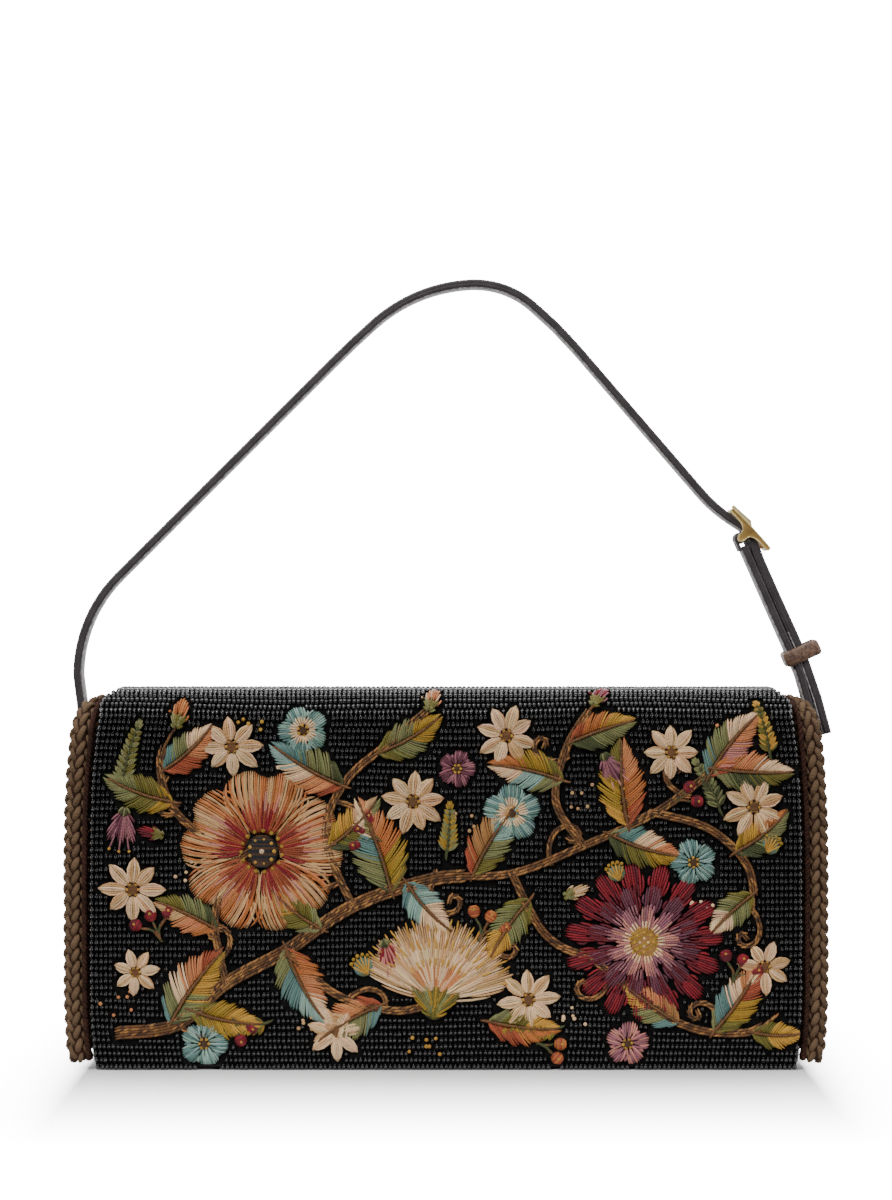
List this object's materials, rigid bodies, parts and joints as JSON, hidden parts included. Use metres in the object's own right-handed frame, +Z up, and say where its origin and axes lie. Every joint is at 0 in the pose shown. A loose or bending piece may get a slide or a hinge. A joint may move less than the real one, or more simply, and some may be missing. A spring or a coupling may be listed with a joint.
{
  "type": "baguette bag",
  "caption": "Slim horizontal shoulder bag with a full beaded flap and floral thread embroidery, plaited cord edging on the gussets and a leather strap with a centre bar buckle.",
  "frame": {"origin": "middle of the base panel's underside, on the floor", "axes": "+Z up; -Y is the flap side, seen in the picture; +X towards the end with the buckle; +Y is the shortest extent"},
  "size_m": [0.2815, 0.0524, 0.2893],
  "materials": {
    "beadwork": "gloss",
    "embroidery": "satin",
    "wall_cloth": "satin",
    "gusset_leather": "satin",
    "base_leather": "satin",
    "board": "matt",
    "binding": "satin",
    "cord": "satin",
    "lining": "satin",
    "flap_lining": "satin",
    "strap_leather": "satin",
    "keeper_leather": "satin",
    "gold": "polished"
  },
  "bodies": {
    "bag": {"base_panel": "base_leather", "base_board": "board", "front_wall": "wall_cloth", "mouth_binding": "binding", "back_panel": "beadwork", "gusset_left": "gusset_leather", "gusset_right": "gusset_leather", "plait_left": "cord", "plait_right": "cord", "lining": "lining", "slip_pocket": "lining", "snap_socket": "gold", "strap_tab_left": "strap_leather", "strap_tab_right": "strap_leather"},
    "flap_top": {"flap_top": "beadwork", "flap_top_lining": "flap_lining"},
    "flap_front": {"flap_front": "beadwork", "flap_front_lining": "flap_lining", "snap_stud": "gold"},
    "strap": {"strap": "strap_leather", "buckle_strap": "strap_leather", "buckle_frame": "gold"},
    "tongue": {"buckle_tongue": "gold"},
    "keeper": {"keeper": "keeper_leather"}
  },
  "joints": [
    {"name": "flap_lift", "type": "hinge", "parent": "bag", "child": "flap_top", "pos_m": [0, 0.0122, 0.1391], "axis": [-1, 0, 0], "range_deg": [0, 45]},
    {"name": "flap_fold", "type": "hinge", "parent": "flap_top", "child": "flap_front", "pos_m": [0, -0.0276, 0.1281], "axis": [-1, 0, 0], "range_deg": [0, 135]},
    {"name": "strap_swing", "type": "hinge", "parent": "bag", "child": "strap", "pos_m": [0, 0, 0.145], "axis": [-1, 0, 0], "range_deg": [0, 80]},
    {"name": "tongue_pivot", "type": "hinge", "parent": "strap", "child": "tongue", "pos_m": [0.10863, 0, 0.19368], "axis": [0, 1, 0], "range_deg": [0, 30]},
    {"name": "keeper_slide", "type": "slide", "parent": "strap", "child": "keeper", "axis": [-0.4035, 0, 0.915], "range_m": [0, 0.016]}
  ]
}
